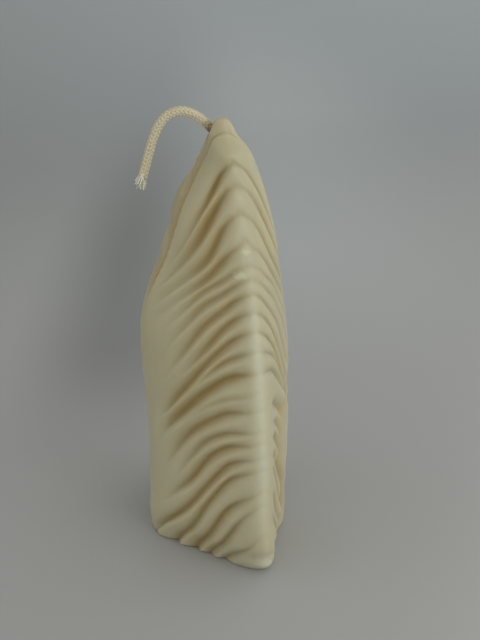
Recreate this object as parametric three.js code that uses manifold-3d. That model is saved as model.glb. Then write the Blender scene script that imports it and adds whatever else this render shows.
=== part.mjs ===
// A leaf-shaped pillar candle: one block of pale cast wax with a braided cotton wick through it.
//
// In plan the block is a rounded lozenge. A margin runs up the front and another up the back, and a keel
// runs up each side. Ribs fall in curves from both margins to the keels, like the veins of a leaf, and
// they are parted by grooves. The front margin ends in a small knob, and the wick leaves the wax close
// behind it, rises a little and arches over to the left, where it hangs in a frayed end.
//
// Units are millimetres. +Z is up, the front margin faces -Y, and the candle stands on Z = 0 with the
// middle of the wax block's box at X = 0, Y = 0.

import * as THREE from 'three';
import { mergeVertices } from 'three/addons/utils/BufferGeometryUtils.js';
import Module from 'manifold-3d';

// Driving dimensions of the wax block, each reach measured from the line that the sections are drawn on.
const waxHeight = 150;
const leftReach = 27.6;
const rightReach = 25;
const frontReach = 40.5;
const rearReach = 40;

// Sections are drawn as |x / reach|^n + |y / reach|^n = 1: 2 is an ellipse, 1 a lozenge with flat sides.
// They are nearly lozenges over most of the height, and round at the tip.
const sectionPower = { low: 1.35, high: 2, risesFrom: 0.6, risesTo: 0.95 };

// How fast the reaches close in at the very top, as a share for each share of the height.
const tipSlope = 30;

// The block leans to its left and forwards near the top, where the knob stands before the wick.
const tipLean = { left: 1.6, forward: 3.8 };

// Relief of the ribs.
const deepestShare = 0.24; // no groove is deeper than this share of the distance to the middle line

// Driving dimensions of the wick.
const wickDiameter = 2.8;
const wickClearance = 0.3; // between the wick and the wax, and between the wick's two lengths
const wickPlace = { x: -2.2, y: 0.8 };
const wickExitHeight = 143.4;
const wickHollowRadius = 3.6; // the dip in the wax in which the wick bends over

// Steps of the faceted surface. Its rows run along the ribs, a row about every rowSpacing.
const quarterSteps = 14;
const rowSpacing = 1.9;
const leastRows = 4; // from one groove to the next
const boreSteps = 24;

// Outline of the block from the base to the tip. `at` is a share of the height, the rest are shares of
// the four reaches. The left keel swells at half height, the right one hardly does.
const outline = [
  { at: 0.0, left: 0.82, right: 0.97, front: 0.82, rear: 0.84 },
  { at: 0.08, left: 0.9, right: 1.0, front: 0.96, rear: 0.96 },
  { at: 0.2, left: 0.9, right: 0.98, front: 1.0, rear: 1.0 },
  { at: 0.34, left: 0.93, right: 0.96, front: 0.95, rear: 0.96 },
  { at: 0.44, left: 0.98, right: 0.955, front: 0.89, rear: 0.9 },
  { at: 0.53, left: 1.0, right: 0.91, front: 0.82, rear: 0.83 },
  { at: 0.61, left: 0.93, right: 0.85, front: 0.74, rear: 0.75 },
  { at: 0.7, left: 0.74, right: 0.77, front: 0.64, rear: 0.64 },
  { at: 0.8, left: 0.53, right: 0.65, front: 0.49, rear: 0.48 },
  { at: 0.88, left: 0.31, right: 0.5, front: 0.385, rear: 0.29 },
  { at: 0.93, left: 0.21, right: 0.34, front: 0.29, rear: 0.18 },
  { at: 0.965, left: 0.18, right: 0.2, front: 0.15, rear: 0.13 },
  { at: 0.985, left: 0.12, right: 0.14, front: 0.09, rear: 0.085 },
  { at: 0.995, left: 0.08, right: 0.09, front: 0.06, rear: 0.055 },
  { at: 1.0, left: 0.02, right: 0.02, front: 0.013, rear: 0.013 },
];

// Grooves that fall from a margin to the keels. `start` and `fall` are shares of the height: where the
// groove crosses the margin, and how much lower it would meet the keel. `bend` and `end` are shares of
// the way from margin to keel: where it turns down, and where it fades out. `depth` and `halfWidth` are
// in millimetres. One groove runs on the right side alone.
const grooves = [
  { start: 0.972, fall: 0.1, bend: 0.6, end: 1.0, depth: 2.2, halfWidth: 1.1 },
  { start: 0.916, fall: 0.338, bend: 0.43, end: 0.76, depth: 3.0, halfWidth: 1.9 },
  { start: 0.868, fall: 0.306, bend: 0.35, end: 0.84, depth: 3.3, halfWidth: 2.2 },
  { start: 0.82, fall: 0.28, bend: 0.23, end: 0.84, depth: 2.7, halfWidth: 2.0 },
  { start: 0.772, fall: 0.265, bend: 0.19, end: 0.8, depth: 2.6, halfWidth: 1.9 },
  { start: 0.733, fall: 0.25, bend: 0.25, end: 0.7, depth: 1.6, halfWidth: 1.5, rightOnly: true },
  { start: 0.705, fall: 0.236, bend: 0.29, end: 0.74, depth: 1.8, halfWidth: 1.6 },
  { start: 0.673, fall: 0.298, bend: 0.35, end: 0.74, depth: 1.9, halfWidth: 1.6 },
  { start: 0.651, fall: 0.345, bend: 0.32, end: 0.76, depth: 2.4, halfWidth: 1.7 },
  { start: 0.627, fall: 0.361, bend: 0.27, end: 0.66, depth: 2.7, halfWidth: 1.7 },
  { start: 0.579, fall: 0.326, bend: 0.24, end: 0.88, depth: 2.5, halfWidth: 1.9 },
  { start: 0.538, fall: 0.299, bend: 0.29, end: 0.6, depth: 2.2, halfWidth: 1.7 },
  { start: 0.496, fall: 0.283, bend: 0.3, end: 1.0, depth: 3.1, halfWidth: 2.1 },
  { start: 0.455, fall: 0.255, bend: 0.32, end: 0.66, depth: 0.8, halfWidth: 1.6 },
  { start: 0.41, fall: 0.262, bend: 0.36, end: 0.84, depth: 2.7, halfWidth: 2.0 },
  { start: 0.362, fall: 0.344, bend: 0.45, end: 0.76, depth: 2.1, halfWidth: 1.6 },
  { start: 0.336, fall: 0.334, bend: 0.35, end: 0.88, depth: 2.7, halfWidth: 1.8 },
  { start: 0.311, fall: 0.368, bend: 0.27, end: 1.0, depth: 2.7, halfWidth: 1.8 },
  { start: 0.285, fall: 0.477, bend: 0.3, end: 0.92, depth: 2.5, halfWidth: 1.8 },
  { start: 0.221, fall: 0.588, bend: 0.31, end: 0.92, depth: 2.7, halfWidth: 2.0 },
  { start: 0.195, fall: 0.574, bend: 0.21, end: 0.92, depth: 2.3, halfWidth: 1.8 },
  { start: 0.103, fall: 0.496, bend: 0.25, end: 0.92, depth: 1.9, halfWidth: 1.8 },
];
const bendSharpness = 0.16;

// Over the margin the low grooves are faint and the high ones less so. They reach their full depth within
// a share of the way to the keel, sooner on the right side than on the left.
const atMargin = { low: 0.15, high: 0.6, risesFrom: 0.6, risesTo: 0.78 };
const deepensWithin = { left: 0.3, right: 0.16 };
const fadeWidth = 0.24;

const lerp = THREE.MathUtils.lerp;
const smoothstep = THREE.MathUtils.smoothstep;

// Height in millimetres to the value of one column of the outline, along a curve with no overshoot.
function outlineShare(column, height) {
  const share = Math.max(0, height / waxHeight);
  const last = outline.length - 1;
  let row = 0;
  while (row < last - 1 && share > outline[row + 1].at) row += 1;
  const slopeAt = (k) => {
    if (k === 0) return 0;
    if (k === last) return -tipSlope;
    const before = (outline[k][column] - outline[k - 1][column]) / (outline[k].at - outline[k - 1].at);
    const after = (outline[k + 1][column] - outline[k][column]) / (outline[k + 1].at - outline[k].at);
    return before * after > 0 ? (2 * before * after) / (before + after) : 0;
  };
  const from = outline[row];
  const to = outline[row + 1];
  const step = to.at - from.at;
  const t = (share - from.at) / step;
  const rise = t * t * (3 - 2 * t);
  const bowFrom = t * (1 - t) * (1 - t);
  const bowTo = t * t * (t - 1);
  return lerp(from[column], to[column], rise) + step * (bowFrom * slopeAt(row) + bowTo * slopeAt(row + 1));
}

// Middle line of the sections at a height.
function middleLine(height) {
  const share = height / waxHeight;
  return {
    x: -tipLean.left * smoothstep(share, 0.65, 1),
    y: -tipLean.forward * smoothstep(share, 0.88, 0.985),
  };
}

// Smooth section of the block. `turn` goes round from the front margin (0) past the right keel (1) to
// the rear margin (2) and back past the left keel (3).
function smoothPoint(turn, height) {
  const angle = (turn * Math.PI) / 2;
  const across = Math.sin(angle);
  const along = Math.cos(angle);
  const roundness = smoothstep(height / waxHeight, sectionPower.risesFrom, sectionPower.risesTo);
  const power = 2 / lerp(sectionPower.low, sectionPower.high, roundness);
  const side = across < 0 ? leftReach * outlineShare('left', height) : rightReach * outlineShare('right', height);
  const edge = along > 0 ? frontReach * outlineShare('front', height) : rearReach * outlineShare('rear', height);
  return {
    x: Math.sign(across) * side * Math.abs(across) ** power,
    y: -Math.sign(along) * edge * Math.abs(along) ** power,
    side,
    edge,
  };
}

// Way from the nearer margin (0) to the nearer keel (1).
function wayToKeel(turn) {
  const part = ((turn % 2) + 2) % 2;
  return part <= 1 ? part : 2 - part;
}

// Share of a groove's fall that it has made on its way to the keel: level at first, then a slant.
function fallShare(way, bend) {
  const slant = (t) => (t - bend + Math.hypot(t - bend, bendSharpness)) / 2;
  return (slant(way) - slant(0)) / (slant(1) - slant(0));
}

// Height of a falling line on its way to the keel.
function lineHeight(line, way) {
  return waxHeight * (line.start - line.fall * fallShare(way, line.bend));
}

function valley(distance, halfWidth) {
  return Math.exp(-((distance / halfWidth) ** 2));
}

// Depth of one falling groove at a place on the surface.
function grooveDepth(groove, way, height, quarterLength, isRight) {
  if (groove.rightOnly && !isRight) return 0;
  const probe = 0.01;
  const level = lineHeight(groove, way);
  const slope = (lineHeight(groove, way + probe) - level) / (probe * quarterLength);
  const distance = (height - level) / Math.hypot(1, slope);
  const overMargin = lerp(atMargin.low, atMargin.high, smoothstep(groove.start, atMargin.risesFrom, atMargin.risesTo));
  const deepens = isRight ? deepensWithin.right : deepensWithin.left;
  const strength = lerp(overMargin, 1, smoothstep(way, 0, deepens));
  const fade = 1 - smoothstep(way, groove.end - fadeWidth, groove.end);
  return groove.depth * strength * fade * valley(distance, groove.halfWidth);
}

// Point of the ribbed wax surface.
function waxPoint(turn, height) {
  const smooth = smoothPoint(turn, height);
  const way = wayToKeel(turn);
  const quarterLength = Math.hypot(smooth.side, smooth.edge);
  let depth = 0;
  const isRight = smooth.x > 0;
  for (const groove of grooves) depth = Math.max(depth, grooveDepth(groove, way, height, quarterLength, isRight));

  const radius = Math.hypot(smooth.x, smooth.y);
  const probe = 0.01;
  const ahead = smoothPoint(turn + probe, height);
  const behind = smoothPoint(turn - probe, height);
  const along = Math.hypot(ahead.x - behind.x, ahead.y - behind.y);
  const facing = Math.abs(smooth.x * (ahead.y - behind.y) - smooth.y * (ahead.x - behind.x)) / (radius * along);
  const inward = Math.min(depth / Math.max(facing, 0.6), deepestShare * radius);
  const scale = 1 - inward / radius;
  const middle = middleLine(height);
  return new THREE.Vector3(middle.x + smooth.x * scale, middle.y + smooth.y * scale, height);
}

// Rows of the surface. Each row lies between two neighbouring falling lines, at a share of the way down
// from one to the other, so that the facets run along the ribs. The first line is the level tip and the
// last one starts below the base.
function surfaceRows() {
  const tip = { start: 1., fall: 0, bend: grooves[0].bend };
  const foot = { ...grooves.at(-1), start: -0.04 };
  const lines = [tip, ...grooves, foot];
  const rows = [];
  for (let k = 0; k < lines.length - 1; k += 1) {
    const atMargin = lineHeight(lines[k], 0) - lineHeight(lines[k + 1], 0);
    const atKeel = lineHeight(lines[k], 1) - lineHeight(lines[k + 1], 1);
    const count = Math.max(leastRows, Math.round(Math.max(atMargin, atKeel / 3) / rowSpacing));
    for (let step = 0; step < count; step += 1) {
      const share = k === 0 ? 1 - Math.cos((step / count) * (Math.PI / 2)) : step / count;
      rows.push({ above: lines[k], below: lines[k + 1], share });
    }
  }
  rows.push({ above: foot, below: foot, share: 0 });
  return rows;
}

// Closed surface of the wax, before its base is cut flat and the wick's bore is cut: rows of points from
// the tip down, a top point and a point far below the base.
function ribbedBlock() {
  const columns = 4 * quarterSteps;
  const rows = surfaceRows();
  const positions = [];
  const indices = [];
  for (const row of rows) {
    for (let column = 0; column < columns; column += 1) {
      const turn = column / quarterSteps;
      const way = wayToKeel(turn);
      const height = lerp(lineHeight(row.above, way), lineHeight(row.below, way), row.share);
      positions.push(...waxPoint(turn, height).toArray());
    }
  }
  const at = (row, column) => row * columns + (column % columns);
  for (let row = 0; row < rows.length - 1; row += 1) {
    for (let column = 0; column < columns; column += 1) {
      indices.push(at(row + 1, column), at(row + 1, column + 1), at(row, column + 1));
      indices.push(at(row + 1, column), at(row, column + 1), at(row, column));
    }
  }
  const topPoint = positions.length / 3;
  const lowPoint = topPoint + 1;
  const middle = middleLine(waxHeight);
  positions.push(middle.x, middle.y, waxHeight, 0, 0, -waxHeight);
  for (let column = 0; column < columns; column += 1) {
    indices.push(at(0, column), at(0, column + 1), topPoint);
    indices.push(at(rows.length - 1, column + 1), at(rows.length - 1, column), lowPoint);
  }
  const geometry = new THREE.BufferGeometry();
  geometry.setAttribute('position', new THREE.Float32BufferAttribute(positions, 3));
  geometry.setIndex(indices);
  return geometry;
}

const wasm = await Module();
wasm.setup();

function toManifold(geometry) {
  const plain = geometry.clone();
  plain.deleteAttribute('normal');
  plain.deleteAttribute('uv');
  const merged = mergeVertices(plain, 1e-4);
  return new wasm.Manifold(new wasm.Mesh({
    numProp: 3,
    vertProperties: new Float32Array(merged.attributes.position.array),
    triVerts: new Uint32Array(merged.index.array),
  }));
}

function toGeometry(solid) {
  const mesh = solid.getMesh();
  const geometry = new THREE.BufferGeometry();
  geometry.setAttribute('position', new THREE.BufferAttribute(mesh.vertProperties, 3));
  geometry.setIndex(new THREE.BufferAttribute(mesh.triVerts, 1));
  geometry.computeVertexNormals();
  return geometry;
}

function uprightCylinder(radius, fromHeight, toHeight, steps) {
  const cylinder = new THREE.CylinderGeometry(radius, radius, toHeight - fromHeight, steps);
  cylinder.rotateX(Math.PI / 2);
  cylinder.translate(wickPlace.x, wickPlace.y, (fromHeight + toHeight) / 2);
  return cylinder;
}

// The cast wax, with the bore that the wick stands in and the dip where the wick bends over.
function makeWaxBody() {
  const boreRadius = wickDiameter / 2 + wickClearance;
  const bore = toManifold(uprightCylinder(boreRadius, -1, waxHeight + 5, boreSteps));
  const dip = new THREE.SphereGeometry(wickHollowRadius, 16, 12);
  dip.translate(wickPlace.x - wickHollowRadius / 2, wickPlace.y + 1, wickExitHeight + wickHollowRadius);
  const aboveBase = new THREE.BoxGeometry(4 * frontReach, 4 * frontReach, 2 * waxHeight);
  aboveBase.translate(0, 0, waxHeight);
  const wax = toManifold(ribbedBlock()).intersect(toManifold(aboveBase)).subtract(bore).subtract(toManifold(dip));
  const material = new THREE.MeshStandardMaterial({ color: 0xcfc6a6, roughness: 0.42, metalness: 0 });
  return new THREE.Mesh(toGeometry(wax), material);
}

// The length of wick inside the wax. Its lower end lies just inside the base.
function makeWickCore() {
  const geometry = uprightCylinder(wickDiameter / 2, wickClearance, wickExitHeight, boreSteps);
  const material = new THREE.MeshStandardMaterial({ color: 0xcdc4a4, roughness: 0.75, metalness: 0 });
  return new THREE.Mesh(geometry, material);
}

// Route of the free wick after it leaves the wax: across to the left, back, and up from the exit.
const wickRoute = [
  [0, 0, 0],
  [-0.3, 0.1, 1.6],
  [-1.3, 0.4, 3.2],
  [-3.0, 1.0, 5.0],
  [-5.2, 1.8, 6.6],
  [-7.8, 2.7, 7.7],
  [-10.6, 3.7, 7.9],
  [-13.2, 4.6, 6.9],
  [-15.5, 5.4, 4.8],
  [-17.2, 6.0, 1.6],
  [-18.6, 6.5, -2.2],
  [-19.7, 6.9, -6.2],
  [-20.7, 7.2, -10.2],
  [-21.7, 7.6, -14.2],
  [-22.6, 7.9, -18.0],
];

// The free length of wick, a tube that stays as the waxed cotton was bent.
function makeWickTail() {
  const start = new THREE.Vector3(wickPlace.x, wickPlace.y, wickExitHeight + wickClearance);
  const route = wickRoute.map(([x, y, z]) => new THREE.Vector3(x, y, z).add(start));
  const path = new THREE.CatmullRomCurve3(route, false, 'centripetal');
  const sides = 8;
  const section = new THREE.Shape();
  for (let side = 0; side < sides; side += 1) {
    const angle = (side / sides) * 2 * Math.PI;
    const corner = new THREE.Vector2(Math.cos(angle), Math.sin(angle)).multiplyScalar(wickDiameter / 2);
    if (side === 0) section.moveTo(corner.x, corner.y);
    else section.lineTo(corner.x, corner.y);
  }
  const steps = Math.round(path.getLength() / (2 * wickDiameter));
  const geometry = new THREE.ExtrudeGeometry(section, { steps, extrudePath: path, bevelEnabled: false });
  const material = new THREE.MeshStandardMaterial({ color: 0xd3cbb0, roughness: 0.75, metalness: 0 });
  return new THREE.Mesh(geometry, material);
}

const pieces = {
  wax_body: makeWaxBody(),
  wick_core: makeWickCore(),
  wick_tail: makeWickTail(),
};

// The origin lies under the middle of the wax block's box.
const candle = new THREE.Group();
for (const [name, piece] of Object.entries(pieces)) {
  piece.name = name;
  candle.add(piece);
}
const middle = new THREE.Box3().setFromObject(pieces.wax_body).getCenter(new THREE.Vector3());
for (const piece of Object.values(pieces)) piece.position.set(-middle.x, -middle.y, 0);

export default candle;
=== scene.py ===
# A leaf-shaped pillar candle of pale cast wax, with a braided wick that arches over to its left.
#
# The script follows the candle as it is made: the camera that looks at it, the free length of the wick,
# the cast wax, the wick inside it, and then the table and the lights. Lengths are written in millimetres
# and become metres through mm. +Z is up, the candle stands on Z = 0, and its front margin faces -Y.
import math
import random

import bmesh
import bpy
import numpy as np
from mathutils import Matrix, Quaternion, Vector


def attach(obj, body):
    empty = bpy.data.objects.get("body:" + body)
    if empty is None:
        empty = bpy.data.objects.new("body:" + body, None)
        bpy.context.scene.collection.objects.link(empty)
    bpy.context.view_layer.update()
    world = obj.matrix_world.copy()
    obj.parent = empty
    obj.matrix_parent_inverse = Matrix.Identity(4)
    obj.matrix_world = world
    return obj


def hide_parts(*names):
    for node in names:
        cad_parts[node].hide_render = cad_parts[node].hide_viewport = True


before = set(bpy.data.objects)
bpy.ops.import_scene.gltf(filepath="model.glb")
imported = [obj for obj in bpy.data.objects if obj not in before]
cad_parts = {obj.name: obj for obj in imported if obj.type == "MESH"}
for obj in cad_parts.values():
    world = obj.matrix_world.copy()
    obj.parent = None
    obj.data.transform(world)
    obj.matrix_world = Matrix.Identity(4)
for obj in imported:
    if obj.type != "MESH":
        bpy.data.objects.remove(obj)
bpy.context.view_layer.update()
mm = 0.001

# Camera: it stands to the left of the front margin and looks down a little, as the photo was taken.
camera_place = Vector((-147.7, -387.82, 260.07)) * mm
camera_target = Vector((8.05, -0.66, 78.75)) * mm
camera_roll = math.radians(0.97)
camera_lens = 75.94

camera = bpy.data.objects.new("camera", bpy.data.cameras.new("camera"))
bpy.context.scene.collection.objects.link(camera)
bpy.context.scene.camera = camera
camera.data.lens = camera_lens
camera.data.sensor_width = 36.0
camera.location = camera_place
camera.rotation_mode = "QUATERNION"
looking = (camera_target - camera_place).to_track_quat("-Z", "Y")
camera.rotation_quaternion = looking @ Quaternion((0, 0, 1), camera_roll)


# Wick, free length: a square-braided cotton wick that was dipped in wax and bent over by hand, so that
# it keeps its arch. It leaves the wax behind the knob. It is modelled as the stitches of its braid over
# a core, and ends in loose yarns.
wick_diameter = 2.8
wick_exit = Vector((-0.94, 1.04, 143.7))
wick_route = [
    (0.0, 0.0, 0.0),
    (-0.6, 0.2, 1.2),
    (-1.8, 0.5, 2.5),
    (-3.4, 1.0, 4.1),
    (-5.4, 1.8, 5.7),
    (-7.9, 2.7, 6.9),
    (-10.6, 3.7, 7.3),
    (-13.2, 4.6, 6.4),
    (-15.5, 5.4, 4.4),
    (-17.2, 6.0, 1.6),
    (-18.6, 6.5, -2.2),
    (-19.7, 6.9, -6.2),
    (-20.7, 7.2, -10.2),
    (-21.7, 7.6, -14.2),
    (-22.6, 7.9, -18.0),
]
fray_length = 4.1
core_radius = 1.18
core_steps = 60

# Stitches of the braid: their lean to the wick's line, and how far their ends dip and thin, as shares.
stitch_pitch = 1.3
stitch_length = 2.2
stitch_columns = 8
stitch_radius = 0.44
stitch_lean = math.radians(32)
stitch_dip = 0.2
stitch_taper = 0.4
braid_radius = 1.12
braid_corners = 0.09


class Route:
    """A smooth line through given points, with its length and its own axes at every distance."""

    def __init__(self, points):
        line = bpy.data.curves.new("route", "CURVE")
        line.dimensions = "3D"
        line.resolution_u = 12
        spline = line.splines.new("BEZIER")
        spline.bezier_points.add(len(points) - 1)
        for knot, place in zip(spline.bezier_points, points):
            knot.co = place
            knot.handle_left_type = knot.handle_right_type = "AUTO"
        holder = bpy.data.objects.new("route", line)
        bpy.context.scene.collection.objects.link(holder)
        bpy.context.view_layer.update()
        sampled = holder.to_mesh()
        self.points = [vertex.co.copy() for vertex in sampled.vertices]
        holder.to_mesh_clear()
        bpy.data.objects.remove(holder)
        bpy.data.curves.remove(line)
        self.marks = [0.0]
        for before, after in zip(self.points, self.points[1:]):
            self.marks.append(self.marks[-1] + (after - before).length)
        self.length = self.marks[-1]
        self.sides = []
        side = Vector((0, 1, 0))
        for index, point in enumerate(self.points):
            ahead = self.points[min(index + 1, len(self.points) - 1)]
            behind = self.points[max(index - 1, 0)]
            along = (ahead - behind).normalized()
            side = (side - along * side.dot(along)).normalized()
            self.sides.append((along, side.copy()))

    def at(self, distance):
        """Point, direction, side and second side of the line at a distance from its start."""
        distance = min(max(distance, 0.0), self.length)
        index = int(np.searchsorted(self.marks, distance, side="right")) - 1
        index = min(index, len(self.points) - 2)
        share = (distance - self.marks[index]) / (self.marks[index + 1] - self.marks[index])
        point = self.points[index].lerp(self.points[index + 1], share)
        along = self.sides[index][0].lerp(self.sides[index + 1][0], share).normalized()
        side = self.sides[index][1].lerp(self.sides[index + 1][1], share).normalized()
        return point, along, side, along.cross(side)


def yarns(name, lines, sides):
    """One mesh of tubes. Each line is a list of points in millimetres with the tube's radius there.

    sides sets how round the tubes are: 0 gives them 4 sides, and each more adds 2.
    """
    curve = bpy.data.curves.new(name, "CURVE")
    curve.dimensions = "3D"
    curve.bevel_depth = 1.0
    curve.bevel_resolution = sides
    curve.use_fill_caps = True
    for line in lines:
        spline = curve.splines.new("POLY")
        spline.points.add(len(line) - 1)
        for knot, (place, radius) in zip(spline.points, line):
            knot.co = (*place, 1.0)
            knot.radius = radius
    holder = bpy.data.objects.new(name, curve)
    bpy.context.scene.collection.objects.link(holder)
    bpy.context.view_layer.update()
    mesh = bpy.data.meshes.new_from_object(holder)
    mesh.name = name
    bpy.data.objects.remove(holder)
    mesh.transform(Matrix.Scale(mm, 4))
    mesh.shade_smooth()
    piece = bpy.data.objects.new(name, mesh)
    bpy.context.scene.collection.objects.link(piece)
    return piece


wick_line = Route([wick_exit + Vector(step) for step in wick_route])
fray_start = wick_line.length - fray_length


def braid_point(distance, angle, radius):
    """Point on the braid's skin. Its section is nearly square, so the skin stands out at four corners."""
    point, along, side, other = wick_line.at(distance)
    square = 1 + braid_corners * math.cos(4 * angle)
    return point + (side * math.cos(angle) + other * math.sin(angle)) * radius * square


def stitch(column, distance):
    """One stitch of the braid: it rises from between its neighbours, leans over and dips again."""
    lean = stitch_lean * (1 if column % 2 else -1)
    middle = (column + 0.5) * 2 * math.pi / stitch_columns
    line = []
    for step in (-1.0, -0.6, -0.2, 0.2, 0.6, 1.0):
        rise = braid_radius * (1 - stitch_dip * step * step)
        place = braid_point(distance + step * stitch_length / 2, middle + lean * step, rise)
        line.append((place, stitch_radius * (1 - stitch_taper * step * step)))
    return line


core = []
for distance in np.linspace(0, fray_start, core_steps):
    core.append((wick_line.at(distance)[0], core_radius))
braid_lines = [core]
for column in range(stitch_columns):
    first = stitch_pitch / 2 if column % 4 in (1, 2) else 0.0
    for distance in np.arange(first, fray_start + 0.4, stitch_pitch):
        braid_lines.append(stitch(column, float(distance)))

# At the cut end the braid has opened: its yarns part into three tufts, with a few stray fibres. Each
# tuft leans to the wick's first and second side, and its yarns start inside the braid.
chance = random.Random(4)
tuft_start = fray_start - 2.0
tuft_bundle = 0.85
yarn_steps = 6
tufts = [
    {"lean": (-2.7, -0.6), "reach": 4.4, "yarns": 14, "radius": 0.3},
    {"lean": (0.1, 0.5), "reach": 6.3, "yarns": 18, "radius": 0.31},
    {"lean": (2.4, -0.3), "reach": 5.0, "yarns": 14, "radius": 0.29},
]
fray_lines = []
for tuft in tufts:
    for yarn in range(tuft["yarns"]):
        point, along, side, other = wick_line.at(tuft_start)
        start_angle = chance.uniform(0, 2 * math.pi)
        start = (side * math.cos(start_angle) + other * math.sin(start_angle)) * tuft_bundle
        spread = Vector((chance.gauss(0, 0.5), chance.gauss(0, 0.5), 0))
        reach = tuft["reach"] * chance.uniform(0.82, 1.08)
        across = side * (tuft["lean"][0] + spread.x) + other * (tuft["lean"][1] + spread.y)
        line = []
        for step in range(yarn_steps + 1):
            share = step / yarn_steps
            opening = 0.8 * share**1.4
            place = point + along * reach * share + start * (1 - 0.5 * share) + across * opening
            line.append((place, tuft["radius"] * (1 - 0.35 * share)))
        fray_lines.append(line)
stray_fibres = 10
fibre_radius = 0.07
fibre_steps = 5
for fibre in range(stray_fibres):
    point, along, side, other = wick_line.at(fray_start + chance.uniform(-1.0, 1.5))
    angle = chance.uniform(0, 2 * math.pi)
    outward = side * math.cos(angle) + other * math.sin(angle)
    reach = chance.uniform(1.6, 3.2)
    line = []
    for step in range(fibre_steps + 1):
        share = step / fibre_steps
        place = point + outward * (1.0 + 0.9 * share * share) + along * reach * share
        line.append((place, fibre_radius))
    fray_lines.append(line)

wick = yarns("wick_braid", braid_lines, sides=2)
wick_end = yarns("wick_frayed_end", fray_lines, sides=1)


class Value:
    """A number or colour that varies over a surface. Sums of Values add Math nodes to the material."""

    def __init__(self, socket):
        self.socket = socket

    def math(self, operation, first, second):
        tree = self.socket.id_data
        made = tree.nodes.new("ShaderNodeMath")
        made.operation = operation
        for place, part in enumerate((first, second)):
            if isinstance(part, Value):
                tree.links.new(part.socket, made.inputs[place])
            else:
                made.inputs[place].default_value = part
        return Value(made.outputs[0])

    def __add__(self, other):
        return self.math("ADD", self, other)

    def __radd__(self, other):
        return self.math("ADD", other, self)

    def __sub__(self, other):
        return self.math("SUBTRACT", self, other)

    def __rsub__(self, other):
        return self.math("SUBTRACT", other, self)

    def __mul__(self, other):
        return self.math("MULTIPLY", self, other)

    def __rmul__(self, other):
        return self.math("MULTIPLY", other, self)

    def __truediv__(self, other):
        return self.math("DIVIDE", self, other)


class Finish:
    """The nodes of a material, or of the light round the candle where its world is given."""

    def __init__(self, name, world=None):
        self.material = world or bpy.data.materials.new(name)
        self.material.use_nodes = True
        self.tree = self.material.node_tree
        self.tree.nodes.clear()

    def node(self, kind, settings, inputs, output=0):
        """Adds a node: its settings come first, then the values or links of its sockets."""
        made = self.tree.nodes.new(kind)
        for name, setting in settings.items():
            if name == "stops":
                ramp = made.color_ramp
                while len(ramp.elements) < len(setting):
                    ramp.elements.new(0.5)
                for element, (place, colour) in zip(ramp.elements, setting):
                    element.position = place
                    element.color = colour
            else:
                setattr(made, name, setting)
        for socket, part in inputs.items():
            if isinstance(part, Value):
                self.tree.links.new(part.socket, made.inputs[socket])
            else:
                made.inputs[socket].default_value = part
        return Value(made.outputs[output]) if len(made.outputs) else None

    def mix(self, share, first, second):
        """Colour that goes from the first to the second."""
        inputs = {0: share, 6: first, 7: second}
        return self.node("ShaderNodeMix", {"data_type": "RGBA"}, inputs, output=2)

    def band(self, value, low, high):
        """0 where the value is below low, 1 above high, and smooth between them."""
        settings = {"interpolation_type": "SMOOTHSTEP"}
        inputs = {"Value": value, "From Min": low, "From Max": high}
        return self.node("ShaderNodeMapRange", settings, inputs)

    def grain(self, place, scale, detail=3.0):
        """Soft noise between 0 and 1, with grains of about 1 / scale metres."""
        inputs = {"Vector": place, "Scale": scale, "Detail": detail}
        return self.node("ShaderNodeTexNoise", {}, inputs)

    def surface(self, **inputs):
        """Ends the material in one Principled shader."""
        named = {name.replace("_", " "): part for name, part in inputs.items()}
        shader = self.node("ShaderNodeBsdfPrincipled", {}, named)
        self.node("ShaderNodeOutputMaterial", {}, {"Surface": shader})


# The cotton is off-white and takes the wax's colour. Painted shade makes the sunk edges of the stitches
# browner, and a brown painted shade stands for the shadow where the wick leaves the wax.
cotton_root_shade = (0.2, 0.13, 0.05, 1)
cotton_fibre = (0.62, 0.58, 0.45, 1)
root_shade_strength = 1.6
root_shade_from, root_shade_to = 3.0, 6.0


def cotton(name, pale, dark):
    finish = Finish(name)
    place = finish.node("ShaderNodeTexCoord", {}, {}, output=3)
    depth = finish.node("ShaderNodeAttribute", {"attribute_name": "sunk"}, {}, output=2)
    patch = finish.grain(place, 420.0)
    fibres = finish.grain(place, 3600.0, 2.0)
    # Painted shade in the sunk edges of the stitches.
    sunk = finish.band(depth + 0.25 * (patch - 0.5), 0.15, 0.95)
    colour = finish.mix(sunk, pale, dark)
    # Brown painted shade for the shadow at the wick's root, next to the wax.
    colour = finish.mix(finish.band(depth, 1.1, 2.0), colour, cotton_root_shade)
    colour = finish.mix(0.35 * finish.band(fibres, 0.35, 0.8), colour, cotton_fibre)
    bump = finish.node(
        "ShaderNodeBump", {}, {"Strength": 0.35, "Distance": 0.15 * mm, "Height": fibres}
    )
    finish.surface(
        Base_Color=colour,
        Roughness=0.62 + 0.2 * patch,
        Normal=bump,
        Subsurface_Weight=0.25,
        Subsurface_Radius=(1.0, 0.6, 0.35),
        Subsurface_Scale=0.8 * mm,
    )
    return finish.material


def mark_crevice_shade(piece, low, high):
    """Stores painted shade: how deep each point lies under the braid's skin, plus a brown painted shade next
    to the wax.

    The depth is 0 where the point lies high from the wick's line and 1 where it lies low.
    """
    sunk = piece.data.attributes.new("sunk", "FLOAT", "POINT")
    for vertex, mark in zip(piece.data.vertices, sunk.data):
        place = vertex.co / mm
        nearest = min((place - point).length for point in wick_line.points)
        from_wax = (place - wick_exit).length
        near_wax = min(max((root_shade_to - from_wax) / (root_shade_to - root_shade_from), 0.0), 1.0)
        mark.value = min(max((high - nearest) / (high - low), 0.0), 1.0) + root_shade_strength * near_wax


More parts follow.
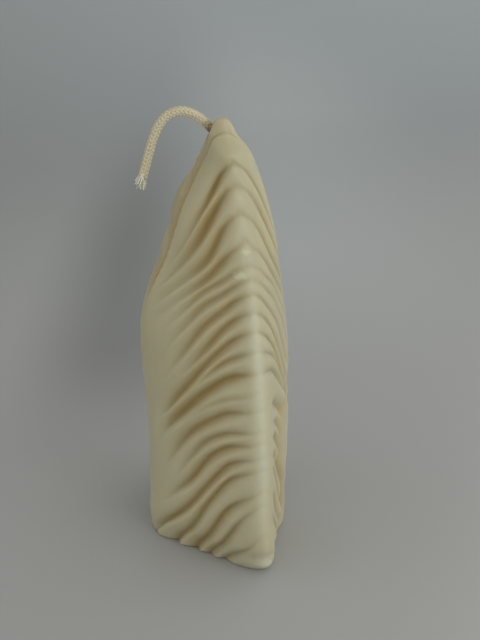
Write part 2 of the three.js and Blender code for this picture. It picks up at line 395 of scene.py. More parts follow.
mark_crevice_shade(wick, 0.95, 1.5)
mark_crevice_shade(wick_end, 0.1, 1.3)
wick.data.materials.clear()
wick.data.materials.append(cotton("waxed_cotton", (0.59, 0.525, 0.35, 1), (0.44, 0.36, 0.21, 1)))
wick_end.data.materials.clear()
wick_end.data.materials.append(cotton("loose_cotton", (0.68, 0.66, 0.55, 1), (0.46, 0.42, 0.30, 1)))
for piece in (wick, wick_end):
    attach(piece, "root")
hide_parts("wick_tail")
[wick_line.at(distance)[0] * mm for distance in np.linspace(0, fray_start, 120)]


# Wax body: one casting of pale, slightly see-through wax, made in a mould. In plan it is a rounded
# lozenge with a margin at the front and at the back and a keel at each side. Ribs parted by grooves
# fall from the margins to the keels. It stands on its flat base.
wax_height = 150.0
full_reach = {"left": 27.6, "right": 25.0, "front": 40.5, "rear": 40.0}

# Outline of the block: shares of the height, and at each of them shares of the four reaches.
outline_heights = wax_height * np.array(
    [0.0, 0.08, 0.2, 0.34, 0.44, 0.53, 0.61, 0.7, 0.8, 0.88, 0.93, 0.965, 0.985, 0.995, 1.0]
)
outline = {
    "left": [0.855, 0.895, 0.895, 0.93, 0.98, 1.0, 0.935, 0.755, 0.57, 0.335, 0.215, 0.18, 0.12, 0.08, 0.02],
    "right": [1.0, 1.0, 1.0, 1.0, 0.975, 0.92, 0.85, 0.77, 0.64, 0.505, 0.37, 0.205, 0.14, 0.09, 0.02],
    "front": [0.8, 0.965, 1.0, 0.95, 0.89, 0.82, 0.74, 0.64, 0.49, 0.385, 0.29, 0.15, 0.09, 0.06, 0.013],
    "rear": [0.8, 0.96, 1.0, 0.96, 0.9, 0.83, 0.75, 0.64, 0.48, 0.29, 0.18, 0.13, 0.085, 0.055, 0.013],
}
tip_slope = 30.0 / wax_height

# Sections are drawn as |x / reach|^n + |y / reach|^n = 1: 1 is a lozenge with flat sides, 2 an ellipse.
# They are nearly lozenges low down and ellipses at the tip, and their four corners are rounded.
section_power = {"low": 1.08, "high": 2.0, "rises_from": 0.6, "rises_to": 0.95}
corner_softness = 0.75

# The spine is the line that the sections are drawn on. Near the top it leans left and forwards. The
# front margin bends to the right at its foot, where it ends in a toe. The left keel is drawn back at its
# foot, and the right side is hollow. Heights named share are shares of the wax's height.
spine = {"x": 1.26, "y": 0.24}
tip_lean = {"left": 1.6, "left_from": 0.65, "forward": 3.8, "forward_from": 0.88, "forward_to": 0.985}
margin_bend = {"right": 3.6, "below_share": 0.16}
keel_foot = {"back": 3.6, "below_share": 0.12}
right_hollow = {"depth_share": 0.33, "full_below_share": 0.4, "none_above_share": 0.6}
toe = {"reach": 3.0, "height": 3.5, "half_height": 2.8, "narrowness": 12}
foot_radius = 1.3

# The dip behind the knob, where the wick bends over, and the painted shade that browns the wax next to the
# wick.
knob_dip = {"place": Vector((-2.7, 2.0, 147.0)), "radius": 3.6}
wick_root_shade = {"place": Vector((-5.0, -0.5, 146.3)), "radius": 2.8, "strength": 1.2}

# Grooves, from the top down. "levels" are heights along the groove, in percent of the wax's height, at
# each share of the way from margin to keel that level_ways lists. "end" is where on the way the groove
# has faded. "depth" and "width" are shares of the deepest and the widest groove. No groove is deeper
# than a share of the distance to the spine.
deepest_groove = 3.3
widest_groove = 2.0
deepest_share = 0.24
level_ways = np.array([0.0, 0.15, 0.3, 0.45, 0.6, 0.8, 1.0])
grooves = [
    {"levels": (91.9, 91.1, 89.2, 85.6, 79.8, 70.5, 61.5), "end": 0.76, "depth": 0.95, "width": 0.85},
    {"levels": (87.3, 86.6, 83.9, 79.2, 73.8, 66.7, 60.0), "end": 0.8, "depth": 1.05, "width": 1.05},
    {"levels": (82.0, 80.7, 77.4, 71.9, 67.8, 62.2, 57.0), "end": 0.75, "depth": 0.9, "width": 0.95},
    {"levels": (76.8, 74.8, 71.9, 67.8, 63.9, 58.0, 52.5), "end": 0.75, "depth": 0.8, "width": 0.9},
    {"levels": (72.0, 70.9, 68.2, 65.5, 60.3, 53.0, 47.0), "end": 0.8, "depth": 0.55, "width": 0.8},
    {"levels": (69.3, 68.0, 65.3, 62.2, 56.2, 47.5, 40.0), "end": 0.8, "depth": 0.6, "width": 0.8},
    {"levels": (66.3, 64.9, 61.8, 57.6, 50.6, 42.0, 33.0), "end": 0.8, "depth": 0.75, "width": 0.85},
    {"levels": (62.6, 61.2, 58.0, 52.4, 46.3, 37.0, 28.0), "end": 0.72, "depth": 0.8, "width": 0.85},
    {"levels": (58.7, 57.3, 54.0, 49.0, 42.7, 34.7, 28.0), "end": 0.95, "depth": 0.8, "width": 0.9},
    {"levels": (54.7, 53.3, 51.0, 46.7, 41.3, 33.3, 27.0), "end": 0.66, "depth": 0.65, "width": 0.8},
    {"levels": (50.0, 48.9, 47.0, 43.1, 38.0, 30.7, 22.0), "end": 0.97, "depth": 0.95, "width": 1.0},
    {"levels": (46.0, 44.7, 43.2, 40.4, 35.0, 26.0, 18.0), "end": 0.72, "depth": 0.25, "width": 0.8},
    {"levels": (42.0, 41.1, 39.6, 36.4, 31.7, 22.0, 13.3), "end": 0.9, "depth": 0.8, "width": 0.95},
    {"levels": (37.3, 36.5, 35.2, 32.3, 26.0, 14.7, 5.3), "end": 0.8, "depth": 0.65, "width": 0.8},
    {"levels": (34.7, 33.6, 31.9, 28.0, 20.4, 13.0, 4.0), "end": 0.9, "depth": 0.8, "width": 0.85},
    {"levels": (31.3, 30.3, 27.9, 21.9, 14.0, 6.3, 0.0), "end": 1.1, "depth": 0.8, "width": 0.85},
    {"levels": (28.7, 27.3, 24.3, 17.3, 7.3, -4.0, -13.0), "end": 1.1, "depth": 0.75, "width": 0.85},
    {"levels": (24.0, 21.5, 17.3, 8.7, -2.7, -16.0, -27.0), "end": 1.1, "depth": 0.8, "width": 0.9},
    {"levels": (20.7, 17.7, 10.7, 0.7, -11.0, -26.0, -37.0), "end": 1.1, "depth": 0.7, "width": 0.85},
    {"levels": (12.7, 8.7, 2.7, -7.0, -18.0, -33.0, -44.0), "end": 1.1, "depth": 0.6, "width": 0.85},
]

# The grooves change their character between these levels of their start, in percent of the height.
finer_between = (44, 50)
middle_between = (45, 50)
upper_between = (50, 62)
marked_between = (55, 75)
past_middle_between = (67, 72)
resting_between = (72, 80)
top_between = (80, 90)

# Shares of a groove's depth: over the margin, where the high grooves are less faint, and past its end.
at_margin = {"low": 0.05, "high": 0.3}
rest = {"low": 0.06, "high": 0.4}

# Shares of the way to the keel: where a groove starts to deepen, where it is at its deepest, and over
# what length it fades before its end. It deepens sooner at half height and later near the top.
margin_rounding = 0.05
deepens_from = {"most": 0.08, "middle": -0.05}
deepens_to = {"most": 0.34, "middle": -0.08, "top": 0.12}
fade_length = 0.35
keel_smooth = (0.74, 0.95)

# How steep a groove is above and below its line. On the left it slants out above and is steep below.
left_slant = {"above": 0.8, "below": 1.5}
right_slant = {"above": 1.05, "below": 1.15}

# On the right side the low grooves fall less and deepen later, the others are finer, and all are
# shallower. They fade where the front leaf ends, and the shallowest one stays on the left.
right_fall = 0.8
right_delay = 0.1
right_depth = {"most": 0.9, "finer": -0.3, "upper": -0.22}
right_width = {"most": 1.15, "finer": -0.55}
# Painted shade in the right side's grooves: less on the low ones, more on the upper ones.
right_painted_shade = {"low": -0.35, "upper": 0.7}
beyond_edge_over = 0.14
beyond_edge_fade = 0.9
shallow_between = (0.2, 0.5)

# Crease: the front leaf of the casting laps over its core from under the knob down along the left keel.
# On the right side the lap is short. Each point is a share of the way to the keel, and a height. The
# core is lap_height lower at the crease and comes back to the leaf's level over lap_return. It is a
# little shallower on the knob.
left_crease = [
    (0.0, 146.0), (0.2, 145.9), (0.45, 145.2), (0.66, 144.0), (0.78, 141.5),
    (0.83, 138.0), (0.85, 132.0), (0.865, 127.0), (0.86, 122.5), (0.86, 117.5),
    (0.88, 112.0), (0.9, 107.0), (0.93, 100.0), (0.97, 92.0), (1.02, 84.0),
]
right_crease = [(0.0, 146.0), (0.2, 145.7), (0.38, 144.5), (0.48, 142.5), (0.56, 138.0)]
left_crease_foot = 88.0
right_crease_foot = 136.0
lap_height = 1.7
lap_return = 2.6
lap_shade_return = 1.8
knob_shallower = 0.15
on_knob_between = (134, 144)

# Behind the left keel the rear leaf's uppermost ribs end in three short notches at these heights.
rear_rib_ends = (135.5, 126.0, 109.5)
rear_rib_depth = 2.89
rear_rib_half_width = 1.6

# Low on the right the front leaf ends in an edge that the grooves cut into lobes: heights, and the
# share of the way to the keel that the edge reaches there. Beyond it the core is edge_step lower.
edge_heights = np.array([0.0, 6.0, 12.0, 21.0, 31.0, 38.0, 45.0, 50.0, 57.0, 66.0])
edge_ways = np.array([0.42, 0.56, 0.68, 0.62, 0.52, 0.5, 0.54, 0.62, 0.76, 0.8])
edge_full_below = 52.0
edge_none_above = 64.0
edge_step = 3.0
edge_return = 5.0
edge_shade_return = 9.0

# Scuffs: two small rubbed spots on the front margin, in millimetres.
scuffs = [
    {"turn": -0.02, "height": 112.0, "size": 1.9},
    {"turn": -0.12, "height": 105.0, "size": 2.8},
]


def smoothstep(value, low, high):
    share = np.clip((value - low) / (high - low), 0, 1)
    return share * share * (3 - 2 * share)


def smooth_line(places, values, place, last_slope=0.0):
    """Smooth curve through points that doesn't overshoot them, and is level at its first point."""
    steps = np.diff(places)
    rises = np.diff(values) / steps
    same_way = rises[1:] * rises[:-1] > 0
    total = np.where(same_way, rises[1:] + rises[:-1], 1)
    slopes = np.zeros(len(places))
    slopes[1:-1] = np.where(same_way, 2 * rises[1:] * rises[:-1] / total, 0)
    slopes[-1] = last_slope
    place = np.clip(place, places[0], places[-1])
    row = np.clip(np.searchsorted(places, place, side="right") - 1, 0, len(steps) - 1)
    step = steps[row]
    t = (place - places[row]) / step
    value = values[row] + (values[row + 1] - values[row]) * t * t * (3 - 2 * t)
    return value + step * (t * (1 - t) ** 2 * slopes[row] + t * t * (t - 1) * slopes[row + 1])


def reach(side, height):
    """Reach of the smooth block to one side, in millimetres, at a height."""
    share = smooth_line(outline_heights, np.array(outline[side]), height, -tip_slope)
    return share * full_reach[side]


def quarter_length(height):
    """Mean length along the skin from a margin to a keel."""
    return np.hypot((reach("left", height) + reach("right", height)) / 2, reach("front", height))


def rounded_power(part, power):
    """A power of a sine or cosine, with the sharp start of its curve rounded."""
    softened = (part * part + corner_softness**2) / (1 + corner_softness**2)
    return part * softened ** ((power - 1) / 2)


def section(turn, height):
    """Smooth skin of the block. turn is 0 on the front margin, 1 right, 2 rear and 3 on the left keel."""
    across = np.sin(turn * math.pi / 2)
    along = np.cos(turn * math.pi / 2)
    to_front = np.maximum(along, 0)
    to_left = np.minimum(across, 0)
    front_right = np.maximum(across * along, 0)
    share = height / wax_height

    rise = smoothstep(share, section_power["rises_from"], section_power["rises_to"])
    power = 2 / (section_power["low"] + (section_power["high"] - section_power["low"]) * rise)
    side = np.where(across < 0, reach("left", height), reach("right", height))
    edge = np.where(along > 0, reach("front", height), reach("rear", height))

    bent = margin_bend["right"] * (1 - smoothstep(share, 0.0, margin_bend["below_share"])) * to_front**2
    back = keel_foot["back"] * (1 - smoothstep(share, 0.0, keel_foot["below_share"])) * to_left**2
    low = 1 - smoothstep(share, right_hollow["full_below_share"], right_hollow["none_above_share"])
    waist = 1 - right_hollow["depth_share"] * low * front_right**2
    toe_height = np.exp(-(((height - toe["height"]) / toe["half_height"]) ** 2))
    toe_reach = toe["reach"] * toe_height * to_front ** toe["narrowness"]
    x = side * rounded_power(across, power) * waist + bent
    return x, back - edge * rounded_power(along, power) * waist - toe_reach


def nearest_on(line, way, height):
    """Distance on the skin to a line of (way, height) points, the nearest way, and which side it is on.

    The side is 1 above a line that falls on its way to the keel, and -1 below it.
    """
    quarter = quarter_length(height)
    line = np.array(line)
    best = np.full_like(height, 1e6)
    best_way = np.zeros_like(height)
    best_side = np.ones_like(height)
    for start, end, line_quarter in zip(line, line[1:], quarter_length(line[:, 1])):
        width = (quarter + line_quarter) / 2
        across, up = (end[0] - start[0]) * width, end[1] - start[1]
        to_across, to_up = (way - start[0]) * width, height - start[1]
        share = np.clip((to_across * across + to_up * up) / (across**2 + up**2), 0, 1)
        distance = np.hypot(to_across - share * across, to_up - share * up)
        nearer = distance < best
        best = np.where(nearer, distance, best)
        best_way = np.where(nearer, start[0] + share * (end[0] - start[0]), best_way)
        best_side = np.where(nearer, np.sign(across * to_up - up * to_across), best_side)
    return best, best_way, best_side


def valley(distance, half_width):
    """Section of a groove: a rounded bottom, and shoulders that make a convex roll of each rib."""
    bottom = 0.35 * half_width
    return np.exp((bottom - np.hypot(distance, bottom)) / (0.8 * half_width))


def slanted(distance, side, slant):
    """Distance to a groove's line, stretched where its side is steep."""
    return distance * np.where(side > 0, slant["above"], slant["below"])


def groove_strength(start, near, right):
    """Share of a groove's depth that it has reached on its way from the margin."""
    marked = smoothstep(start, *marked_between)
    over_margin = at_margin["low"] + (at_margin["high"] - at_margin["low"]) * marked
    middle = smoothstep(start, *middle_between) * (1 - smoothstep(start, *past_middle_between))
    later = right_delay * right * (1 - smoothstep(start, *finer_between))
    begins = deepens_from["most"] + deepens_from["middle"] * middle
    full = deepens_to["most"] + deepens_to["middle"] * middle
    full += deepens_to["top"] * smoothstep(start, *top_between)
    return over_margin + (1 - over_margin) * smoothstep(near, begins + later, full + later)


def groove_fade(groove, near, right, beyond_edge):
    """Share of a groove's depth that it keeps towards its end, and on the right side of the block."""
    start, end = groove["levels"][0], groove["end"]
    kept = rest["low"] + (rest["high"] - rest["low"]) * smoothstep(start, *resting_between)
    left_fade = 1 - (1 - kept) * smoothstep(near, end - fade_length, end)
    if end < 1:
        left_fade = left_fade * (1 - smoothstep(near, *keel_smooth))
    upper = smoothstep(start, *upper_between)
    right_fade = right_depth["most"] + right_depth["upper"] * upper
    right_fade += right_depth["finer"] * smoothstep(start, *finer_between)
    right_fade *= 1 - beyond_edge_fade * (1 - upper) * beyond_edge
    right_fade *= smoothstep(groove["depth"], *shallow_between)
    return left_fade + (right_fade - left_fade) * right


def groove_relief(turn, height):
    """Depth of the grooves at places on the skin, in millimetres, and how much painted shade browns them
    there.
    """
    part = np.mod(turn, 2)
    way = np.hypot(np.where(part <= 1, part, 2 - part), margin_rounding)
    right = smoothstep(np.sin(turn * math.pi / 2), -0.1, 0.3)
    past_edge = way - smooth_line(edge_heights, edge_ways, height)
    beyond_edge = smoothstep(past_edge, 0.0, beyond_edge_over)
    line_ways = np.linspace(0, 1, 21)
    total = np.zeros_like(height)
    tint = np.zeros_like(height)
    for groove in grooves:
        start = groove["levels"][0]
        upper = smoothstep(start, *upper_between)
        levels = smooth_line(level_ways, np.array(groove["levels"]), line_ways) * wax_height / 100
        right_levels = levels[0] + (levels - levels[0]) * (right_fall + (1 - right_fall) * upper)
        on_left = nearest_on(np.column_stack([line_ways, levels]), way, height)
        on_right = nearest_on(np.column_stack([line_ways, right_levels]), way, height)
        distance = slanted(on_left[0], on_left[2], left_slant) * (1 - right)
        distance += slanted(on_right[0], on_right[2], right_slant) * right
        near = on_left[1] + (on_right[1] - on_left[1]) * right
        fade = groove_fade(groove, near, right, beyond_edge)
        depth = deepest_groove * groove["depth"] * groove_strength(start, near, right) * fade
        wider = right_width["most"] - 1 + right_width["finer"] * smoothstep(start, *finer_between)
        shape = valley(distance, widest_groove * groove["width"] * (1 + wider * right))
        total += (depth * shape) ** 4
        # Painted shade in the groove, changed on the right side.
        browner = right_painted_shade["upper"] * upper + right_painted_shade["low"] * (1 - upper)
        shade = shape * (0.3 * fade + 0.7 * depth / deepest_groove) * (1 + browner * right)
        tint = np.maximum(tint, shade)
    return total**0.25, tint


def lap_relief(turn, height):
    """Depth of the core below the front leaf, beyond the crease, and how much painted shade browns it there.
    """
    signed = np.mod(turn + 2, 4) - 2
    from_front = np.abs(signed)
    on_knob = smoothstep(height, *on_knob_between)
    laps = ((left_crease, signed < 0, left_crease_foot), (right_crease, signed >= 0, right_crease_foot))
    depth = np.zeros_like(height)
    tint = np.zeros_like(height)
    for crease, on_side, foot in laps:
        distance, _, side = nearest_on(crease, from_front, height)
        past = distance * side
        shown = np.where(on_side, smoothstep(height, foot, foot + 8), 0)
        beyond = smoothstep(past, -0.35, 0.25) * shown * smoothstep(1.5 - from_front, 0, 0.3)
        returned = np.exp(-np.maximum(past, 0) / lap_return)
        depth += lap_height * beyond * returned * (1 - knob_shallower * on_knob)
        near_by = np.exp(-np.maximum(past, 0) / lap_shade_return)
        tint += beyond * (0.3 * (1 - on_knob) + (0.7 - 0.15 * on_knob) * near_by)
    return depth, tint


def rear_rib_relief(turn, height):
    """Depth of the short notches in which the rear leaf's uppermost ribs end, behind the left keel."""
    signed = np.mod(turn + 2, 4) - 2
    from_front = np.abs(signed)
    shown = np.where(signed < 0, smoothstep(from_front, 0.92, 1.0), 0)
    depth = np.zeros_like(height)
    for level in rear_rib_ends:
        distance, _, side = nearest_on([(0.93, level - 1), (1.4, level + 7)], from_front, height)
        shape = valley(slanted(distance, side, {"above": 0.6, "below": 1.6}), rear_rib_half_width)
        depth += rear_rib_depth * shape * shown
    return depth


def edge_relief(turn, height):
    """Depth of the core beyond the front leaf's right-hand edge, and how much painted shade browns it there.
    """
    signed = np.mod(turn + 2, 4) - 2
    past = (np.abs(signed) - smooth_line(edge_heights, edge_ways, height)) * quarter_length(height)
    shown = smoothstep(signed, 0, 0.15) * (1 - smoothstep(height, edge_full_below, edge_none_above))
    recess = smoothstep(past, -0.6, 0.9) * np.exp(-np.maximum(past, 0) / edge_return)
    shade = smoothstep(past, -0.5, 0.8) * np.exp(-np.maximum(past, 0) / edge_shade_return)
    return edge_step * recess * shown, 0.85 * shade * shown


def wax_point(turn, height):
    """Places on the ribbed skin, in millimetres, and how much painted shade browns the wax at each."""
    x, y = section(turn, height)
    groove_depth, groove_painted_shade = groove_relief(turn, height)
    lap_depth, lap_painted_shade = lap_relief(turn, height)
    edge_depth, edge_painted_shade = edge_relief(turn, height)
    depth = groove_depth + lap_depth + rear_rib_relief(turn, height) + edge_depth
    radius = np.hypot(x, y)
    ahead_x, ahead_y = section(turn + 0.01, height)
    behind_x, behind_y = section(turn - 0.01, height)
    step_x, step_y = ahead_x - behind_x, ahead_y - behind_y
    facing = np.abs(x * step_y - y * step_x) / (radius * np.hypot(step_x, step_y))
    inward = np.minimum(depth / np.maximum(facing, 0.6), deepest_share * radius)
    below_edge = np.clip(foot_radius - height, 0, foot_radius)
    inward += foot_radius - np.sqrt(foot_radius**2 - below_edge**2)
    scale = 1 - inward / radius
    share = height / wax_height
    leaning = smoothstep(share, tip_lean["forward_from"], tip_lean["forward_to"])
    spine_x = spine["x"] - tip_lean["left"] * smoothstep(share, tip_lean["left_from"], 1.0)
    spine_y = spine["y"] - tip_lean["forward"] * leaning
    return spine_x + x * scale, spine_y + y * scale, np.maximum(groove_painted_shade, lap_painted_shade + edge_painted_shade)


def painted_margin_sheen(turn, height):
    """Painted highlight: how much paler the front margin and its foot are painted at places on the skin,
    from 0 to 1, for a sheen of light there.
    """
    signed = np.mod(turn + 2, 4) - 2
    foot = 1 - smoothstep(height, 5, 12)
    lower_half = 0.4 + 0.6 * (1 - smoothstep(height, 84, 108))
    below_knob = 1 - 0.7 * smoothstep(height, 128, 140)
    above_foot = smoothstep(height, 13, 30) * lower_half * below_knob
    half_width = 0.085 + 0.08 * foot
    return np.exp(-((signed / half_width) ** 2)) * (foot + above_foot)


# The grid's columns are closest on the front, and its rows on the knob. Its ends meet on the rear margin.
columns = 300
wall_rows = 320
crowding = 0.35
knob_row = 0.3
knob_height = 134.0
wick_clearance = 0.3
bore_radius = wick_diameter / 2 + wick_clearance
bore_depth = 8.0
bore_steps = 32

wax = bmesh.new()
bmesh.ops.create_grid(wax, x_segments=columns, y_segments=wall_rows, size=0.5)
places = np.array([vertex.co for vertex in wax.verts])
around = places[:, 0] + 0.5
turn = 2 + 4 * (around + crowding * np.sin(2 * math.pi * around) / (2 * math.pi))
height = np.interp(places[:, 1], (-0.5, knob_row, 0.5), (0, knob_height, wax_height))
x, y, tint = wax_point(turn, height)
# Painted highlight along the front margin and at its foot.
worn = painted_margin_sheen(turn, height)
shade_layer = wax.verts.layers.float.new("tint")
sheen_layer = wax.verts.layers.float.new("worn")
tip = Vector((spine["x"] - tip_lean["left"], spine["y"] - tip_lean["forward"], wax_height))
for vertex, px, py, pz, shade, sheen_share in zip(wax.verts, x, y, height, tint, worn):
    point = Vector((px, py, pz))
    from_dip = point - knob_dip["place"]
    if 0.01 < from_dip.length < knob_dip["radius"]:
        point = knob_dip["place"] + from_dip.normalized() * knob_dip["radius"]
    if pz > wax_height - 0.01:
        point = tip
    # Painted shade: the wax round the wick's root is painted browner for the shadow there.
    patch = math.exp(-((point - wick_root_shade["place"]).length / wick_root_shade["radius"]) ** 2)
    vertex[shade_layer] = max(shade, wick_root_shade["strength"] * patch)
    vertex[sheen_layer] = sheen_share
    vertex.co = point * mm
bmesh.ops.remove_doubles(wax, verts=wax.verts, dist=0.02 * mm)

# The base is filled flat round the mouth of the wick's bore, and the bore goes up from there.
rim_edges = [edge for edge in wax.edges if edge.is_boundary and edge.verts[0].co.z < 0.5 * mm]
hole = bmesh.ops.create_circle(
    wax,
    cap_ends=False,
    segments=bore_steps,
    radius=bore_radius * mm,
    matrix=Matrix.Translation(Vector((wick_exit.x, wick_exit.y, 0)) * mm),
)
ring = set(hole["verts"])
hole_edges = [edge for edge in wax.edges if ring.issuperset(edge.verts)]
bmesh.ops.triangle_fill(wax, edges=rim_edges + hole_edges, use_beauty=True, normal=(0, 0, -1))
walls = bmesh.ops.extrude_edge_only(wax, edges=hole_edges)
raised = [part for part in walls["geom"] if isinstance(part, bmesh.types.BMVert)]
bmesh.ops.translate(wax, verts=raised, vec=(0, 0, bore_depth * mm))
bmesh.ops.contextual_create(wax, geom=[p for p in walls["geom"] if isinstance(p, bmesh.types.BMEdge)])
bmesh.ops.recalc_face_normals(wax, faces=wax.faces)
wax_mesh = bpy.data.meshes.new("wax_body_ribbed")
wax.to_mesh(wax_mesh)
wax.free()
wax_mesh.shade_smooth()
wax_piece = bpy.data.objects.new("wax_body_ribbed", wax_mesh)
bpy.context.scene.collection.objects.link(wax_piece)

# The wax is cloudy and paler at the scuffs. Painted light makes it paler low down and darker higher up, a
# painted highlight pales the front margin and its foot, and painted shade browns the grooves, the core
# beyond the laps and the wax round the wick.
wax_lit_low = (0.505, 0.473, 0.317, 1)
wax_shaded_high = (0.437, 0.407, 0.265, 1)
wax_cloud = (0.45, 0.41, 0.258, 1)
wax_painted_sheen = (0.535, 0.545, 0.42, 1)
wax_scuffed = (0.62, 0.60, 0.40, 1)
wax_painted_shade = (0.36, 0.25, 0.085, 1)


def scuff_mark(finish, scuff, place, fine):
    """Mask of one scuff: 1 on it and 0 off it, with a ragged edge."""
    x, y, _ = wax_point(np.array([scuff["turn"]]), np.array([scuff["height"]]))
    spot = Vector((x[0], y[0], scuff["height"])) * mm
    from_spot = finish.node("ShaderNodeVectorMath", {"operation": "SUBTRACT"}, {0: place, 1: spot})
    flatter = finish.node(
        "ShaderNodeVectorMath", {"operation": "MULTIPLY"}, {0: from_spot, 1: (1.0, 1.0, 2.0)}
    )
    away = finish.node("ShaderNodeVectorMath", {"operation": "LENGTH"}, {0: flatter}, output=1)
    return 1 - finish.band(away / (scuff["size"] * mm) + 2.0 * (fine - 0.5), 0.3, 1.1)


def cast_wax(name):
    finish = Finish(name)
    place = finish.node("ShaderNodeTexCoord", {}, {}, output=3)
    tint = finish.node("ShaderNodeAttribute", {"attribute_name": "tint"}, {}, output=2)
    worn = finish.node("ShaderNodeAttribute", {"attribute_name": "worn"}, {}, output=2)
    cloud = finish.grain(place, 45.0, 3.0)
    mottle = finish.grain(place, 260.0, 4.0)
    fine = finish.grain(place, 1500.0, 2.0)
    # Painted shade: brown in the grooves, beyond the laps and the edge, and round the wick.
    shade_share = finish.band(tint + 0.12 * (mottle - 0.5), 0.09, 1.05)
    level = finish.node("ShaderNodeSeparateXYZ", {}, {"Vector": place}, output=2)
    # Painted light: the wax is painted paler low down and darker higher up.
    colour = finish.mix(finish.band(level, 0.02, 0.12), wax_lit_low, wax_shaded_high)
    colour = finish.mix(0.35 * finish.band(cloud, 0.35, 0.7), colour, wax_cloud)
    # Painted highlight: the front margin and its foot are painted paler for a sheen of light.
    colour = finish.mix(0.75 * worn * (0.7 + 0.6 * mottle), colour, wax_painted_sheen)
    colour = finish.mix(shade_share, colour, wax_painted_shade)
    for scuff in scuffs:
        colour = finish.mix(0.55 * scuff_mark(finish, scuff, place, fine), colour, wax_scuffed)
    waves = finish.node(
        "ShaderNodeBump", {}, {"Strength": 0.35, "Distance": 0.4 * mm, "Height": mottle}
    )
    bump = finish.node(
        "ShaderNodeBump", {}, {"Strength": 0.25, "Distance": 0.08 * mm, "Height": fine, "Normal": waves}
    )
    finish.surface(
        Base_Color=colour,
        Roughness=0.3 + 0.16 * mottle,
        Normal=bump,
        IOR=1.44,
        Subsurface_Weight=0.8,
        Subsurface_Radius=(1.0, 0.62, 0.3),
        Subsurface_Scale=4.0 * mm,
    )
    return finish.material


wax_mesh.materials.append(cast_wax("cast_wax"))
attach(wax_piece, "root")
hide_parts("wax_body")


# Wick, inner length: the same braid, cast into the wax as it was poured. Only its trimmed end shows, in
# the base, browner than the free length.
inner_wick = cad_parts["wick_core"]
inner_finish = cotton("cast_in_cotton", (0.42, 0.38, 0.26, 1), (0.30, 0.26, 0.16, 1))
for material_slot in inner_wick.material_slots:
    material_slot.material = inner_finish


# Table: a plain pale surface of one sheet that curves up into a wall behind the candle. It isn't part
# of the candle. Sizes are in metres.
table_half = 1.5
table_steps = 40
bend_from = 0.45
bend_radius = 0.35

table = bmesh.new()
bmesh.ops.create_grid(table, x_segments=1, y_segments=table_steps, size=table_half)
for vertex in table.verts:
    back = max(vertex.co.y - bend_from, 0.0)
    if back > 0:
        bend = min(back / bend_radius, math.pi / 2)
        above = max(back - bend_radius * math.pi / 2, 0.0)
        vertex.co.y = bend_from + bend_radius * math.sin(bend)
        vertex.co.z = bend_radius * (1 - math.cos(bend)) + above
table_mesh = bpy.data.meshes.new("table")
table.to_mesh(table_mesh)
table.free()
table_mesh.shade_smooth()
table_piece = bpy.data.objects.new("table", table_mesh)
bpy.context.scene.collection.objects.link(table_piece)

# Its grey is painted light: paler to the right, and darker on the wall. Left of the candle a dim zone is a
# painted shadow of the candle, right of it a bright zone is painted light, and towards the lamp a painted
# pool of light makes it nearly white.
table_shaded_left = (0.385, 0.385, 0.378, 1)
table_lit_right = (0.43, 0.433, 0.426, 1)
wall_shaded_left = (0.235, 0.242, 0.238, 1)
wall_lit_right = (0.352, 0.379, 0.388, 1)
painted_shadow_grey = (0.14, 0.145, 0.14, 1)
painted_light_grey = (0.5, 0.53, 0.53, 1)
painted_pool_white = (0.85, 0.86, 0.84, 1)
painted_zone_strength = 0.6
view_sine = 0.373
view_cosine = 0.928

plain = Finish("grey_with_painted_light")
place = plain.node("ShaderNodeTexCoord", {}, {}, output=3)
across = plain.node("ShaderNodeSeparateXYZ", {}, {"Vector": place}, output=0)
behind = plain.node("ShaderNodeSeparateXYZ", {}, {"Vector": place}, output=1)
beside = view_cosine * across - view_sine * behind
beyond = view_sine * across + view_cosine * behind
to_right = plain.band(across, -0.35, 0.4)
on_wall = plain.band(behind, 0.1, 0.6)
table_colour = plain.mix(to_right, table_shaded_left, table_lit_right)
wall_colour = plain.mix(to_right, wall_shaded_left, wall_lit_right)
grey = plain.mix(on_wall, table_colour, wall_colour)
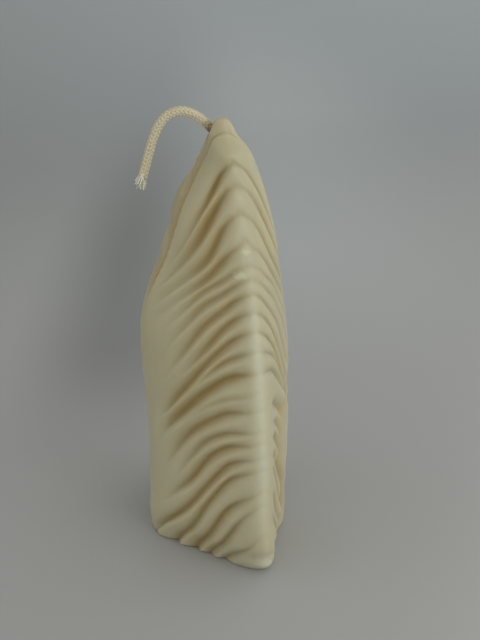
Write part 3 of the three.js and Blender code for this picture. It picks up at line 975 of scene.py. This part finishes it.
# Painted shadow of the candle, to its left.
left_of_candle = plain.band(beside, -0.105, -0.05) * (1 - plain.band(beside, -0.045, 0.02))
painted_shadow = left_of_candle * plain.band(beyond, 0.02, 0.16) * (1 - plain.band(beyond, 0.26, 0.58))
grey = plain.mix(painted_zone_strength * painted_shadow, grey, painted_shadow_grey)
# Painted light, to the right of the candle.
right_of_candle = plain.band(beside, -0.06, 0.02) * (1 - plain.band(beside, 0.03, 0.17))
painted_light = right_of_candle * plain.band(beyond, 0.1, 0.3) * (1 - plain.band(beyond, 0.55, 0.72))
grey = plain.mix(painted_zone_strength * painted_light, grey, painted_light_grey)
# Painted pool of light towards the lamp.
towards_lamp = plain.band(0.8 * across - 0.6 * behind, 0.06, 0.3)
grey = plain.mix(towards_lamp, grey, painted_pool_white)
plain.surface(Base_Color=grey, Roughness=0.75)
table_mesh.materials.append(plain.material)


# Light: a wide soft lamp to the right of the candle, and an even pale room around it that is a little
# darker overhead. Neither is part of the candle.
lamp_place = Vector((1.03, -1.85, 0.66))
lamp_target = Vector((0, 0, 0.08))
room_level = (1.0, 0.998, 0.975, 1)
room_overhead = (0.58, 0.578, 0.565, 1)
room_strength = 0.97

lamp = bpy.data.lights.new("soft_lamp", "AREA")
lamp.energy = 15.2
lamp.color = (0.96, 1.0, 1.0)
lamp.shape = "DISK"
lamp.size = 2.2
lamp_holder = bpy.data.objects.new("soft_lamp", lamp)
lamp_holder.location = lamp_place
lamp_holder.rotation_mode = "QUATERNION"
lamp_holder.rotation_quaternion = (lamp_target - lamp_place).to_track_quat("-Z", "Y")
bpy.context.scene.collection.objects.link(lamp_holder)

world = bpy.data.worlds.new("room")
bpy.context.scene.world = world
room = Finish("room", world)
direction = room.node("ShaderNodeTexCoord", {}, {}, output=0)
upward = room.node("ShaderNodeSeparateXYZ", {}, {"Vector": direction}, output=2)
stops = [(0.1, room_level), (0.95, room_overhead)]
ceiling = room.node("ShaderNodeValToRGB", {"stops": stops}, {"Fac": upward})
glow = room.node("ShaderNodeBackground", {}, {"Color": ceiling, "Strength": room_strength})
room.node("ShaderNodeOutputWorld", {}, {"Surface": glow})
bpy.context.scene.view_settings.view_transform = "Standard"
